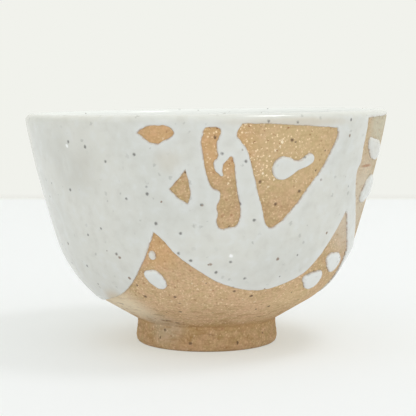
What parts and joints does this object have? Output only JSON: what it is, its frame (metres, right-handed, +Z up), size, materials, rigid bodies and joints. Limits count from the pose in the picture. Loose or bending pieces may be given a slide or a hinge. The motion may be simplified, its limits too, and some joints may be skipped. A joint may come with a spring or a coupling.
{
  "type": "tea bowl",
  "caption": "Footed stoneware tea bowl: flared wall on a round hip, turned foot ring, glazed inside, white glaze poured outside with bare clay windows.",
  "frame": {"origin": "centre of the foot ring, in the plane of the table it stands on", "axes": "+Z up along the bowl's axis, -Y towards the front with the tall windows in the glaze, +X to the viewer's right of that front"},
  "size_m": [0.1249, 0.1252, 0.0813],
  "materials": {
    "stoneware": "unglazed buff stoneware with fine grit",
    "white_glaze": "satin-gloss white with iron specks"
  },
  "bodies": {
    "root": {"stoneware_body": "stoneware", "glaze_lining": "white_glaze", "glaze_coat": "white_glaze", "splash_front_comma": "white_glaze", "splash_right_upper": "white_glaze", "splash_right_lower": "white_glaze", "splash_hip_right": "white_glaze", "splash_hip_front": "white_glaze", "splash_left_small": "white_glaze", "splash_left_large": "white_glaze", "splash_back_upper": "white_glaze", "splash_back_right": "white_glaze", "splash_back_low": "white_glaze"}
  },
  "joints": []
}
